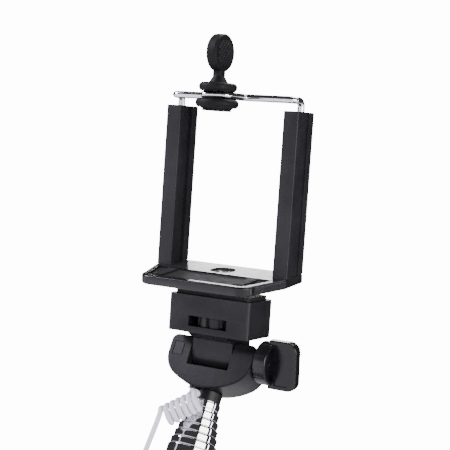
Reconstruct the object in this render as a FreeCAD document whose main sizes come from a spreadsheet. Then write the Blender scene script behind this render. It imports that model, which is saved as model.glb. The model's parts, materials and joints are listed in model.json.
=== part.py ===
import FreeCAD, Part
import math
import os

# Selfie stick, in millimetres.  +Z runs up the stick, +X points to the tilt knob, -Y is the front,
# the side of the shutter button.  The origin is the centre of the hand grip.  The phone clip is
# built upright about the tilt pivot and then leaned back with the tilt angle.

V = FreeCAD.Vector
doc = FreeCAD.newDocument("selfie_stick")
sheet = doc.addObject("Spreadsheet::Sheet", "dims")

SIZES = [
    # hand grip
    ("grip_length", 96.0), ("foam_thick", 3.0), ("grip_dia", "=core_dia+2*foam_thick"), ("grip_round", 2.0),
    ("core_wall", 1.85),
    ("core_dia", "=base_dia+2*core_wall"),
    ("core_extra", 5.5), ("cap_length", 12.0), ("glue_gap", 0.05),
    # shutter button
    ("housing_length", 26.0), ("housing_wall", 1.8), ("housing_roof", 3.0),
    ("button_dia", 6.4), ("button_rise", 1.1), ("button_travel", 0.6), ("flange_thick", 0.6),
    ("flange_extra", 0.7), ("board_width", 8.0), ("board_thick", 0.8), ("switch_rise", 1.0),
    ("switch_size", 4.0), ("fit_gap", 0.15),
    # telescope
    ("base_dia", 17.3), ("tube_wall", 0.35), ("slip_gap", 0.225), ("run_gap", 0.05),
    ("base_top", 80.0), ("base_bottom", -40.0), ("tube_step", 2.75), ("tube_stagger", 1.0),
    ("lip_length", 1.5), ("bush_length", 6.0), ("first_show", 3.6),
    # head
    ("neck_show", 3.6), ("neck_dia", 9.9), ("neck_plug", 12.0), ("socket_dia", 7.6),
    ("socket_depth", 6.0), ("head_half_width", 17.5), ("head_depth", 14.0), ("head_bottom", 14.4),
    ("ear_top", 3.6), ("shoulder_round", 2.6), ("flank_radius", 9.0), ("flank_drop", 3.0),
    ("slot_half_top", 8.8), ("slot_half_bottom", 8.5),
    ("slot_floor", 6.9), ("face_round", 0.5), ("back_round", 2.5), ("spot_depth", 0.4),
    ("spot_dia", 17.0), ("bolt_dia", 4.0), ("nut_size", 7.0), ("nut_thick", 3.0),
    ("washer_dia", 10.0), ("washer_thick", 0.5), ("label_line", 0.3), ("label_depth", 0.2),
    ("head_screw_dia", 2.2), ("head_screw_head", 4.0), ("head_screw_x", 12.2),
    ("head_screw_drop", 7.6), ("lead_dia", 5.0),
    # tilt knob
    ("collar_dia", 15.4), ("collar_length", 4.6), ("paddle_length", 9.2), ("paddle_height", 17.4),
    ("paddle_thick", 3.6), ("paddle_round", 3.4), ("panel_depth", 0.5), ("panel_border", 1.4),
    ("dish_depth", 1.2),
    # block above the pivot
    ("tilt_angle", 25.8), ("block_width", 33.0), ("block_depth", 17.0), ("block_low", 8.4),
    ("block_split", 15.0), ("block_high", 21.7), ("block_round", 1.4), ("block_back", -2.4),
    ("tongue_width", 16.4), ("tongue_radius", 6.2), ("ramp_drop", 2.6), ("wheel_radius", 7.8),
    ("wheel_height", 3.3), ("wheel_low", 10.85), ("wheel_teeth", 10), ("tooth_depth", 1.1),
    ("wheel_gap", 0.3), ("window_half", 7.8), ("window_low", 10.7), ("window_high", 14.4),
    ("screw_dia", 6.35), ("screw_drop", 1.12), ("thread_gap", 0.08), ("pad_thick", 1.4),
    ("pad_inset", 1.3), ("block_wall", 2.0), ("block_screw_dia", 2.0), ("block_screw_x", 12.6),
    ("block_screw_head", 3.6),
    # phone clip
    ("tray_front", -23.5), ("tray_length", 31.2), ("tray_half_front", 22.5),
    ("tray_half_rear", 26.9), ("tray_low", 24.9), ("tray_thick", 3.4), ("tray_slope", 7.0),
    ("well_depth", 1.5), ("well_length", 13.6), ("rim_thick", 2.4), ("tray_corner", 5.0),
    ("boss_dia", 14.0), ("boss_gap", 0.1), ("insert_drop", 0.62), ("insert_dia", 9.0),
    ("tray_pad_thick", 1.0), ("pad_rib", 0.6), ("pad_rib_width", 4.0),
    ("post_width", 5.8), ("post_depth", 12.0), ("post_rear", 7.5), ("post_top", 88.6),
    ("groove_width", 5.6), ("groove_back", 2.4), ("groove_depth", 0.5),
    ("groove_inner", 1.2), ("leg_inset", 2.3), ("bore_dia", 3.3), ("cap_thick", 1.6), ("post_round", 0.4),
    ("post_screw_dia", 2.2), ("post_screw_head", 3.8), ("post_screw_back", 3.9),
    ("post_screw_length", 9.0),
    # sprung wire and jaw
    ("wire_dia", 2.5), ("wire_height", 92.4), ("wire_bend", 2.1), ("wire_forward", 5.5),
    ("jog_half", 5.0), ("jog_forward", 12.5), ("leg_bottom", 33.0), ("slide_gap", 0.05),
    ("foot_length", 1.8), ("spring_wall", 0.3), 
    ("jaw_front", -14.1), ("upper_dia", 13.3), ("jaw_flange", 3.0),
    ("lower_dia", 15.0), ("flange_round", 1.35),
    ("disc_dia", 13.0), ("disc_thick", 4.1), ("disc_height", 107.0), ("neck_x", 3.6),
    ("neck_y", 3.4), ("rib_height", 0.8), ("rib_width", 1.2), ("rib_pitch", 1.9),
    ("rib_length", 8.0), ("rib_base", 0.4), ("wire_gap", 0.05),
    # curly lead with its plug
    ("cord_dia", 1.9), ("coil_dia", 8.2), ("grommet_dia", 2.9), ("grommet_length", 1.2),
    ("plug_dia", 6.2), ("plug_length", 15.0), ("relief_dia", 4.0), ("relief_length", 7.0),
    ("contact_dia", 3.5), ("contact_length", 14.0),
]

for row, (alias, value) in enumerate(SIZES, start=1):
    sheet.set("A%d" % row, alias)
    sheet.set("B%d" % row, str(value))
    sheet.setAlias("B%d" % row, alias)
doc.recompute()


def dim(alias):
    """The value of one driving dimension."""
    return float(sheet.get(alias))


finished = []


def bind(item, **rules):
    """Tie properties to sheet cells; x, y, z stand for the placement's base."""
    for key, rule in rules.items():
        prop = {"x": "Placement.Base.x", "y": "Placement.Base.y", "z": "Placement.Base.z"}.get(key, key)
        item.setExpression(prop, rule)
    return item


def box(name, length, width, height, x="0", y="0", z="0"):
    item = doc.addObject("Part::Box", name)
    return bind(item, Length=length, Width=width, Height=height, x=x, y=y, z=z)


def rod(name, radius, height, x="0", y="0", z="0", along="Z"):
    item = doc.addObject("Part::Cylinder", name)
    turns = {"Z": FreeCAD.Rotation(), "X": FreeCAD.Rotation(V(0, 1, 0), 90),
             "Y": FreeCAD.Rotation(V(1, 0, 0), -90)}
    item.Placement = FreeCAD.Placement(V(0, 0, 0), turns[along])
    return bind(item, Radius=radius, Height=height, x=x, y=y, z=z)


def cut(name, base, *tools):
    for number, tool in enumerate(tools):
        last = number == len(tools) - 1
        item = doc.addObject("Part::Cut", name if last else "%s_cut%d" % (name, number))
        item.Base = base
        item.Tool = tool
        base = item
    return base


def join(name, *shapes):
    item = doc.addObject("Part::MultiFuse", name)
    item.Shapes = list(shapes)
    item.Refine = True
    return item


def group(name, *shapes):
    item = doc.addObject("Part::Compound", name)
    item.Links = list(shapes)
    return item


def rounded(name, base, radius, chosen):
    """Fillet the edges of base for which chosen(edge) is true."""
    doc.recompute()
    item = doc.addObject("Part::Fillet", name)
    item.Base = base
    item.Edges = [(n, radius, radius) for n, edge in enumerate(base.Shape.Edges, start=1) if chosen(edge)]
    return item


def plane_of(body, role):
    return [part for part in body.Origin.OriginFeatures if part.Role == role][0]


def outline_body(name, plane, curves, length, offset=0.0, back=False):
    """A padded outline: curves lie in the body's own origin plane, shifted by offset along its normal."""
    body = doc.addObject("PartDesign::Body", name)
    sketch = body.newObject("Sketcher::SketchObject", name + "_outline")
    sketch.AttachmentSupport = (plane_of(body, plane), [""])
    sketch.MapMode = "FlatFace"
    sketch.AttachmentOffset = FreeCAD.Placement(V(0, 0, offset), FreeCAD.Rotation())
    sketch.addGeometry(curves, False)
    pad = body.newObject("PartDesign::Pad", name + "_pad")
    pad.Profile = sketch
    pad.setExpression("Length", length)
    pad.Reversed = back
    return body


def turned_body(name, points):
    """A body turned about Z from an outline of (radius, height) corners."""
    body = doc.addObject("PartDesign::Body", name)
    sketch = body.newObject("Sketcher::SketchObject", name + "_outline")
    sketch.AttachmentSupport = (plane_of(body, "XZ_Plane"), [""])
    sketch.MapMode = "FlatFace"
    sketch.addGeometry(closed_lines(points), False)
    turn = body.newObject("PartDesign::Revolution", name + "_turn")
    turn.Profile = sketch
    turn.ReferenceAxis = (sketch, ["V_Axis"])
    turn.Angle = 360
    return body


def closed_lines(points):
    corners = [V(a, b, 0) for a, b in points]
    return [Part.LineSegment(corners[n - 1], corners[n]) for n in range(len(corners))]


def arc(start, middle, end):
    return Part.Arc(V(start[0], start[1], 0), V(middle[0], middle[1], 0), V(end[0], end[1], 0))


def line(start, end):
    return Part.LineSegment(V(start[0], start[1], 0), V(end[0], end[1], 0))


def keep(item, label, placement=None):
    """Name a finished sub-part and put it in its place."""
    item.Label = label
    if placement is not None:
        item.Placement = placement
    finished.append(item)
    return item


def bent_path(points):
    """Straight runs joined by tangent arcs, each as large as its two runs allow; returns wire and radii."""
    edges, radii = [], []
    here = points[0]
    for before, corner, after in zip(points, points[1:], points[2:]):
        run_in = corner - before
        run_out = after - corner
        turn = run_in.getAngle(run_out)
        reach = 0.45 * min(run_in.Length, run_out.Length)
        radii.append(reach / math.tan(turn / 2))
        start = corner - V(run_in).normalize() * reach
        end = corner + V(run_out).normalize() * reach
        centre_way = (V(run_out).normalize() - V(run_in).normalize()).normalize()
        bulge = radii[-1] / math.cos(turn / 2) - radii[-1]
        edges.append(Part.LineSegment(here, start).toShape())
        edges.append(Part.Arc(start, corner + centre_way * bulge, end).toShape())
        here = end
    edges.append(Part.LineSegment(here, points[-1]).toShape())
    return Part.Wire(edges), radii


def fillet_path(points, radius):
    """Straight runs joined by bends of one radius."""
    edges = []
    here = points[0]
    for before, corner, after in zip(points, points[1:], points[2:]):
        way_in = (corner - before).normalize()
        way_out = (after - corner).normalize()
        turn = way_in.getAngle(way_out)
        reach = radius * math.tan(turn / 2)
        start = corner - way_in * reach
        end = corner + way_out * reach
        centre_way = (way_out - way_in).normalize()
        bulge = radius / math.cos(turn / 2) - radius
        edges.append(Part.LineSegment(here, start).toShape())
        edges.append(Part.Arc(start, corner + centre_way * bulge, end).toShape())
        here = end
    edges.append(Part.LineSegment(here, points[-1]).toShape())
    return Part.Wire(edges)


def round_pipe(path, radius):
    """A closed round bar along a path."""
    first = path.OrderedEdges[0]
    start = first.valueAt(first.FirstParameter)
    way = first.tangentAt(first.FirstParameter)
    profile = Part.Wire([Part.Circle(start, way, radius).toShape()])
    return path.makePipeShell([profile], True, False)


def along_z(edge):
    ends = edge.Vertexes
    if len(ends) != 2:
        return False
    flat = (ends[0].Point - ends[1].Point)
    return abs(flat.x) < 1e-4 and abs(flat.y) < 1e-4


def circle_at(edge, height, radius):
    curve = edge.Curve
    return (isinstance(curve, Part.Circle) and abs(curve.Center.z - height) < 1e-3
            and abs(curve.Radius - radius) < 1e-3)


# --- hand grip ---------------------------------------------------------------------------------
half_grip = dim("grip_length") / 2
core_end = half_grip + dim("core_extra")

core = cut("core_tube",
           rod("core_outer", "dims.core_dia/2", "dims.grip_length+2*dims.core_extra",
               z="-dims.grip_length/2-dims.core_extra"),
           rod("core_bore", "dims.base_dia/2+dims.glue_gap", "dims.grip_length+2*dims.core_extra",
               z="-dims.grip_length/2-dims.core_extra"))
keep(core, "handle_core")

sleeve = cut("grip_tube",
             rod("grip_outer", "dims.grip_dia/2", "dims.grip_length", z="-dims.grip_length/2"),
             rod("grip_bore", "dims.core_dia/2", "dims.grip_length", z="-dims.grip_length/2"))
grip = rounded("grip_sleeve", sleeve, dim("grip_round"),
               lambda e: circle_at(e, half_grip, dim("grip_dia") / 2)
               or circle_at(e, -half_grip, dim("grip_dia") / 2))
keep(grip, "handle_grip")

cap_low = -half_grip - dim("cap_length")
cap_radius = dim("grip_dia") / 2 - 0.5
cap_inside = dim("core_dia") / 2 + dim("glue_gap")
cap_body = turned_body("cap_body", [
    (0, cap_low), (cap_radius - 3, cap_low), (cap_radius - 0.9, cap_low + 0.9),
    (cap_radius, cap_low + 3), (cap_radius, -half_grip), (cap_inside, -half_grip),
    (cap_inside, -core_end), (0, -core_end)])
keep(cap_body, "end_cap")

# --- shutter button and its housing --------------------------------------------------------------
case_low = half_grip
case_high = half_grip + dim("housing_length")
case_radius = dim("grip_dia") / 2
core_hole = dim("core_dia") / 2 + dim("glue_gap")
base_hole = dim("base_dia") / 2 + dim("glue_gap")
room_radius = case_radius - dim("housing_wall")
room_low = core_end
room_high = case_high - dim("housing_roof")
button_height = (room_low + room_high) / 2
case_solid = turned_body("case_solid", [
    (core_hole, case_low), (case_radius, case_low), (case_radius, case_high - 4.0),
    (case_radius - 0.5, case_high - 2.0), (case_radius - 1.9, case_high - 0.5),
    (case_radius - 3.0, case_high), (base_hole, case_high), (base_hole, room_high),
    (room_radius, room_high), (room_radius, room_low), (core_hole, room_low)])
button_radius = dim("button_dia") / 2
flange_radius = button_radius + dim("flange_extra")
seat = case_radius - 1.3
button_hole = rod("button_hole", "dims.button_dia/2+dims.fit_gap", "dims.grip_dia", along="Y",
                  y="-dims.grip_dia/2-5", z=str(button_height))
button_hole.setExpression("Height", "dims.grip_dia/4+5")
button_seat = rod("button_seat", "dims.button_dia/2+dims.flange_extra+dims.fit_gap",
                  "dims.housing_wall+1", along="Y", y=str(-seat), z=str(button_height))
keep(cut("button_case", case_solid, button_hole, button_seat), "button_housing")

flange_front = seat - 0.05
button = join("button_parts",
              rod("button_cap", "dims.button_dia/2", str(case_radius + dim("button_rise") - flange_front),
                  along="Y", y=str(-case_radius - dim("button_rise")), z=str(button_height)),
              rod("button_flange", "dims.button_dia/2+dims.flange_extra", "dims.flange_thick",
                  along="Y", y=str(-flange_front), z=str(button_height)))
keep(rounded("button_round", button, 0.5,
             lambda e: isinstance(e.Curve, Part.Circle)
             and abs(e.Curve.Center.y + case_radius + dim("button_rise")) < 1e-3), "shutter_button")

switch_face = flange_front - dim("flange_thick") - dim("button_travel") - 0.05
board_front = switch_face - dim("switch_rise")
board = join("board_parts",
             box("board_plate", "dims.board_width", "dims.board_thick", str(room_high - room_low),
                 x="-dims.board_width/2", y=str(-board_front), z=str(room_low)),
             box("board_switch", "dims.switch_size", "dims.switch_rise", "dims.switch_size",
                 x="-dims.switch_size/2", y=str(-switch_face),
                 z=str(button_height - dim("switch_size") / 2)))
keep(board, "switch_board")

# --- telescope ---------------------------------------------------------------------------------
TUBE_COUNT = 7


def tube_dia(number):
    return dim("base_dia") - (TUBE_COUNT - number) * 2 * (dim("tube_wall") + dim("slip_gap"))


def tube_top(number):
    top = dim("base_top") + (TUBE_COUNT - number) * dim("tube_step")
    if number == 1:
        top += dim("first_show") - dim("tube_step")
    return top


def tube_bottom(number):
    return dim("base_bottom") + (TUBE_COUNT - number) * dim("tube_stagger")


def tube_text(number):
    steps = TUBE_COUNT - number
    return "(dims.base_dia-%d*2*(dims.tube_wall+dims.slip_gap))" % steps


for number in range(TUBE_COUNT, 0, -1):
    name = "tube_%d" % number
    low, high = tube_bottom(number), tube_top(number)
    outer = rod(name + "_outer", tube_text(number) + "/2", str(high - low), z=str(low))
    bore_high = high if number == 1 else high - dim("lip_length")
    bore = rod(name + "_bore", tube_text(number) + "/2-dims.tube_wall", str(bore_high - low), z=str(low))
    if number == 1:
        tube = cut(name + "_hollow", outer, bore)
    else:
        lip = rod(name + "_lip", tube_text(number - 1) + "/2+dims.run_gap",
                  "dims.lip_length", z=str(bore_high))
        tube = cut(name + "_hollow", outer, bore, lip)
        tube = rounded(name + "_rolled", tube, 0.25,
                       lambda e, n=number, t=high: circle_at(e, t, tube_dia(n) / 2))
    keep(tube, name)
    if number < TUBE_COUNT:
        bush = cut("bush_%d_ring" % number,
                   rod("bush_%d_outer" % number,
                       tube_text(number + 1) + "/2-dims.tube_wall-dims.run_gap", "dims.bush_length",
                       z=str(low)),
                   rod("bush_%d_bore" % number, tube_text(number) + "/2", "dims.bush_length", z=str(low)))
        keep(bush, "bush_%d" % number)

# --- head: neck, two shells with a fork, tilt hinge --------------------------------------------
pivot_height = tube_top(1) + dim("neck_show") + dim("head_bottom")
pivot = FreeCAD.Placement(V(0, 0, pivot_height), FreeCAD.Rotation())
floor_height = pivot_height - dim("head_bottom")
neck_radius = dim("neck_dia") / 2
plug_radius = tube_dia(1) / 2 - dim("tube_wall")
neck = turned_body("neck_solid", [
    (0, tube_top(1) - dim("neck_plug")), (plug_radius, tube_top(1) - dim("neck_plug")),
    (plug_radius, tube_top(1)), (neck_radius, tube_top(1)), (neck_radius, floor_height),
    (dim("socket_dia") / 2, floor_height), (dim("socket_dia") / 2, floor_height + dim("socket_depth")),
    (0, floor_height + dim("socket_depth"))])
keep(neck, "neck_spigot")

lead = rod("lead_coil", "dims.lead_dia/2", str(tube_top(1) - dim("neck_plug") - dim("base_bottom") - 10),
           z="dims.base_bottom+10")
keep(lead, "inner_lead")


def head_outline():
    """Bowl outline in the plane of the front: flat ears with round shoulders, shallow round bottom."""
    half = dim("head_half_width")
    top = dim("ear_top")
    low = -dim("head_bottom")
    shoulder = dim("shoulder_round")
    flank = dim("flank_radius")
    widest = -dim("flank_drop")
    across = half - flank
    drop = widest - low
    belly = (across ** 2 + drop ** 2 - flank ** 2) / (2 * (drop - flank))
    belly_height = low + belly
    way = V(across, widest - belly_height, 0).normalize()
    meet = (way.x * belly, belly_height + way.y * belly)
    half_way = (way + V(1, 0, 0)).normalize()
    bend = shoulder * math.sqrt(0.5)
    curves = [line((half - shoulder, top), (shoulder - half, top))]
    for sign in (1, -1):
        curves.append(arc((sign * (half - shoulder), top),
                          (sign * (half - shoulder + bend), top - shoulder + bend),
                          (sign * half, top - shoulder)))
        curves.append(line((sign * half, top - shoulder), (sign * half, widest)))
        curves.append(arc((sign * half, widest),
                          (sign * (across + half_way.x * flank), widest + half_way.y * flank),
                          (sign * meet[0], meet[1])))
        low_way = (way + V(0, -1, 0)).normalize()
        curves.append(arc((sign * meet[0], meet[1]),
                          (sign * low_way.x * belly, belly_height + low_way.y * belly), (0, low)))
    return curves


def head_shell(name, back):
    depth = "dims.head_depth/2"
    shell = outline_body(name + "_solid", "XZ_Plane", head_outline(), depth, 0.0, back)
    shell.Placement = pivot
    edge_at = dim("head_depth") / 2 * (1 if back else -1)
    radius = dim("back_round") if back else dim("face_round")

    def on_face(edge):
        return all(abs(v.Point.y - edge_at) < 1e-3 for v in edge.Vertexes) and edge.BoundBox.YLength < 1e-3

    return rounded(name + "_soft", shell, radius, on_face)


def slot_tool(name):
    top = dim("ear_top") + 1
    floor = -dim("slot_floor")
    wide, narrow = dim("slot_half_top"), dim("slot_half_bottom")
    tool = outline_body(name, "XZ_Plane",
                        closed_lines([(-narrow, floor), (narrow, floor), (wide, top), (-wide, top)]),
                        "dims.head_depth+4", -dim("head_depth") / 2 - 2)
    tool.Placement = pivot
    return tool


def x_hole(name, radius, start, end):
    return rod(name, radius, str(end - start), along="X", x=str(start), z=str(pivot_height))


def nut_pocket(name, gap, start, length):
    """A six-sided prism along X about the pivot line."""
    across = dim("nut_size") / 2 + gap
    corner = across / math.cos(math.radians(30))
    points = [(corner * math.cos(math.radians(60 * n)), corner * math.sin(math.radians(60 * n)))
              for n in range(6)]
    prism = outline_body(name, "YZ_Plane", closed_lines(points), length, start)
    prism.Placement = pivot
    return prism


nut_start = -dim("head_half_width") + 1.3
label_left, label_right = -15.7, -11.4
label_low, label_high = -4.2, 0.9


def label_groove(name):
    """A plain rectangular line pressed into the front of the left ear."""
    line_wide = dim("label_line")
    outer = box(name + "_outer", str(label_right - label_left), "dims.label_depth+1",
                str(label_high - label_low), x=str(label_left), y="-dims.head_depth/2-1",
                z=str(pivot_height + label_low))
    inner = box(name + "_inner", str(label_right - label_left - 2 * line_wide), "dims.label_depth+2",
                str(label_high - label_low - 2 * line_wide), x=str(label_left + line_wide),
                y="-dims.head_depth/2-1.5", z=str(pivot_height + label_low + line_wide))
    return cut(name, outer, inner)


screw_height = pivot_height - dim("head_screw_drop")
cord_exit = V(-4.1, -5.0, floor_height + 0.55)
half_width = dim("head_half_width")
for side, back in (("front", False), ("rear", True)):
    shell = head_shell("head_" + side, back)
    tools = [slot_tool("slot_" + side),
             x_hole("bolt_hole_" + side, "dims.bolt_dia/2+dims.fit_gap", -half_width - 2, half_width + 2),
             nut_pocket("nut_room_" + side, 0.0, nut_start, "dims.nut_thick"),
             rod("socket_" + side, "dims.socket_dia/2", "dims.socket_depth", z=str(floor_height)),
             x_hole("spot_" + side, "dims.spot_dia/2", half_width - dim("spot_depth"), half_width + 2)]
    for way in (-1, 1):
        spot = "%s_%s" % (side, "left" if way < 0 else "right")
        tools.append(rod("shell_screw_" + spot, "dims.head_screw_dia/2", "dims.head_depth-3",
                         along="Y", x="%d*dims.head_screw_x" % way, y="-dims.head_depth/2+2.5",
                         z=str(screw_height)))
        tools.append(rod("shell_sink_" + spot, "dims.head_screw_head/2", "4", along="Y",
                         x="%d*dims.head_screw_x" % way, y="dims.head_depth/2-1.6", z=str(screw_height)))
    if not back:
        tools.append(rod("cord_hole", "dims.cord_dia/2+dims.fit_gap", "5", x=str(cord_exit.x),
                         y=str(cord_exit.y), z=str(floor_height - 1)))
        tools.append(rod("cord_seat", "dims.grommet_dia/2", "2", x=str(cord_exit.x), y=str(cord_exit.y),
                         z=str(cord_exit.z - 2)))
        tools.append(label_groove("label_line"))
    keep(cut("housing_" + side + "_cut", shell, *tools), "housing_" + side)

shell_screws = []
for way in (-1, 1):
    tag = "left" if way < 0 else "right"
    shell_screws.append(join("head_screw_" + tag,
                             rod("head_shank_" + tag, "dims.head_screw_dia/2", "dims.head_depth-4.1",
                                 along="Y", x="%d*dims.head_screw_x" % way, y="-dims.head_depth/2+2.5",
                                 z=str(screw_height)),
                             rod("head_cap_" + tag, "dims.head_screw_head/2", "1.3", along="Y",
                                 x="%d*dims.head_screw_x" % way, y="dims.head_depth/2-1.6",
                                 z=str(screw_height))))
keep(group("housing_screw_pair", *shell_screws), "housing_screws")

nut = cut("nut_drilled", nut_pocket("nut_solid", 0.0, nut_start, "dims.nut_thick"),
          x_hole("nut_bore", "dims.bolt_dia/2+dims.run_gap", nut_start - 1, nut_start + 5))
keep(nut, "tilt_nut")

# --- tilt bolt, washer and knob -----------------------------------------------------------------
washer_start = half_width - dim("spot_depth") + 0.02
collar_start = washer_start + dim("washer_thick") + 0.02
collar_end = collar_start + dim("collar_length")
washer = cut("washer_ring", x_hole("washer_disc", "dims.washer_dia/2", washer_start,
                                   washer_start + dim("washer_thick")),
             x_hole("washer_bore", "dims.bolt_dia/2+dims.fit_gap", washer_start - 1, washer_start + 2))
keep(washer, "wave_washer")
keep(x_hole("bolt_rod", "dims.bolt_dia/2", nut_start - 0.4, collar_end - 1.2), "tilt_bolt")


def rounded_plate(name, length, height, corner, thick, start, offset):
    """A plate with rounded corners, its face square to -Y, from x = start."""
    end = start + length
    low, high = -height / 2, height / 2
    bend = corner * (1 - math.sqrt(0.5))
    curves = [line((start, low), (end - corner, low)),
              arc((end - corner, low), (end - bend, low + bend), (end, low + corner)),
              line((end, low + corner), (end, high - corner)),
              arc((end, high - corner), (end - bend, high - bend), (end - corner, high)),
              line((end - corner, high), (start, high)),
              line((start, high), (start, low))]
    return outline_body(name, "XZ_Plane", curves, thick, offset)


paddle_thick = dim("paddle_thick")
paddle = rounded_plate("paddle_plate", dim("paddle_length") + 1.5, dim("paddle_height"),
                       dim("paddle_round"), "dims.paddle_thick", collar_end - 1.5, -paddle_thick / 2)
paddle_soft = rounded("paddle_soft", paddle, 0.5,
                      lambda e: e.BoundBox.YLength < 1e-3 and e.BoundBox.XMax > collar_end - 1.4)
border = dim("panel_border")
panels = []
for way in (-1, 1):
    offset = paddle_thick / 2 - dim("panel_depth") if way < 0 else -paddle_thick / 2 - 1
    panels.append(rounded_plate("panel_%s" % ("front" if way < 0 else "rear"),
                                dim("paddle_length") - 2 * border + 0.6,
                                dim("paddle_height") - 2 * border, dim("paddle_round") - border,
                                "dims.panel_depth+1", collar_end + border - 0.6, offset))
collar = rod("collar_disc", "dims.collar_dia/2", "dims.collar_length", along="X", x=str(collar_start))
collar_soft = rounded("collar_soft", collar, 0.6,
                      lambda e: isinstance(e.Curve, Part.Circle) and e.Curve.Center.x > collar_start)
dish = cut("dish_ring", rod("dish_disc", "dims.collar_dia/2-1.3", "dims.dish_depth+1", along="X",
                            x=str(collar_end - dim("dish_depth"))),
           box("dish_web", "dims.dish_depth+3", "dims.paddle_thick", "dims.collar_dia+2",
               x=str(collar_end - dim("dish_depth") - 1), y="-dims.paddle_thick/2",
               z="-dims.collar_dia/2-1"))
knob = cut("knob_bored", join("knob_parts", cut("collar_dished", collar_soft, dish),
                              cut("paddle_paneled", paddle_soft, *panels)),
           rod("knob_bore", "dims.bolt_dia/2", str(collar_end - 1.2 - collar_start), along="X",
               x=str(collar_start)))
knob_lean = FreeCAD.Rotation(V(1, 0, 0), dim("tilt_angle") + 3.5)
keep(knob, "tilt_knob", FreeCAD.Placement(V(0, 0, pivot_height), knob_lean))

# --- block above the pivot, built upright about the pivot ---------------------------------------
leaned = FreeCAD.Placement(V(0, 0, pivot_height), FreeCAD.Rotation(V(1, 0, 0), dim("tilt_angle")))
block_back = dim("block_back")
block_box = ("dims.block_width", "dims.block_depth")
block_corner = ("-dims.block_width/2", "dims.block_back-dims.block_depth/2")


def block_slab(name, low, high):
    slab = box(name, *block_box, "%s-%s" % (high, low), x=block_corner[0], y=block_corner[1], z=low)
    return rounded(name + "_soft", slab, dim("block_round"), along_z)


lower_slab = block_slab("block_low_slab", "dims.block_low", "dims.block_split")
reach = dim("tongue_radius")
front_edge = block_back - dim("block_depth") / 2
rear_edge = block_back + dim("block_depth") / 2
tongue_curves = [line((front_edge + 0.4, dim("block_low")), (-reach, dim("block_low") - dim("ramp_drop"))),
                 line((-reach, dim("block_low") - dim("ramp_drop")), (-reach, 0)),
                 arc((-reach, 0), (0, -reach), (reach, 0)),
                 line((reach, 0), (rear_edge, dim("block_low"))),
                 line((rear_edge, dim("block_low")), (rear_edge, dim("block_low") + 1)),
                 line((rear_edge, dim("block_low") + 1), (front_edge + 0.4, dim("block_low") + 1)),
                 line((front_edge + 0.4, dim("block_low") + 1), (front_edge + 0.4, dim("block_low")))]
tongue = outline_body("tongue_solid", "YZ_Plane", tongue_curves, "dims.tongue_width",
                      -dim("tongue_width") / 2)
wheel_room = rod("wheel_room", "dims.wheel_radius+dims.wheel_gap", "dims.block_split-dims.window_low",
                 y="dims.block_back", z="dims.window_low")
window = box("wheel_window", "2*dims.window_half", "dims.block_depth+2",
             "dims.window_high-dims.window_low", x="-dims.window_half",
             y="dims.block_back-dims.block_depth/2-1", z="dims.window_low")
tongue_bore = rod("tongue_bore", "dims.bolt_dia/2+dims.fit_gap", "dims.tongue_width+2", along="X",
                  x="-dims.tongue_width/2-1")
lower_tools = [wheel_room, window, tongue_bore]
screws, upper_holes = [], []
for way in (-1, 1):
    tag = "left" if way < 0 else "right"
    spot = {"x": "%d*dims.block_screw_x" % way, "y": "dims.block_back"}
    lower_tools.append(rod("block_hole_" + tag, "dims.block_screw_dia/2",
                           "dims.block_split-dims.block_low", z="dims.block_low", **spot))
    lower_tools.append(rod("block_sink_" + tag, "dims.block_screw_head/2", "1.2",
                           z="dims.block_low", **spot))
    upper_holes.append(rod("block_pilot_" + tag, "dims.block_screw_dia/2", "3.5",
                           z="dims.block_split", **spot))
    screws.append(join("block_screw_" + tag,
                       rod("block_shank_" + tag, "dims.block_screw_dia/2",
                           "dims.block_split-dims.block_low+3.3", z="dims.block_low+0.2", **spot),
                       rod("block_head_" + tag, "dims.block_screw_head/2", "1.0",
                           z="dims.block_low+0.2", **spot)))
keep(cut("block_low_cut", join("block_low_parts", lower_slab, tongue), *lower_tools), "block_lower", leaned)
keep(group("block_screw_pair", *screws), "block_screws", leaned)

upper_slab = block_slab("block_high_slab", "dims.block_split", "dims.block_high")
screw_hole = rod("screw_hole", "dims.screw_dia/2+dims.fit_gap", "dims.block_high-dims.block_split",
                 y="dims.block_back", z="dims.block_split")
hollows = []
for way in (-1, 1):
    tag = "left" if way < 0 else "right"
    hollows.append(box("upper_hollow_" + tag, "3.6", "dims.block_depth-2*dims.block_wall", "4.2",
                       x="%d*7.6-1.8" % way, y="dims.block_back-dims.block_depth/2+dims.block_wall",
                       z="dims.block_split"))
keep(cut("block_high_cut", upper_slab, screw_hole, *upper_holes, *hollows), "block_upper", leaned)

pad_slab = box("block_pad_slab", "dims.block_width-2*dims.pad_inset", "dims.block_depth-2*dims.pad_inset",
               "dims.pad_thick", x="-dims.block_width/2+dims.pad_inset",
               y="dims.block_back-dims.block_depth/2+dims.pad_inset", z="dims.block_high")
pad_soft = rounded("block_pad_soft", pad_slab, 2.0, along_z)
pad_hole = rod("block_pad_hole", "dims.screw_dia/2+2*dims.fit_gap", "dims.pad_thick",
               y="dims.block_back", z="dims.block_high")
keep(cut("block_pad_cut", pad_soft, pad_hole), "block_pad", leaned)

# --- thumbwheel and clip screw ------------------------------------------------------------------
teeth = int(dim("wheel_teeth"))
root_radius = dim("wheel_radius") - dim("tooth_depth")


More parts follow.
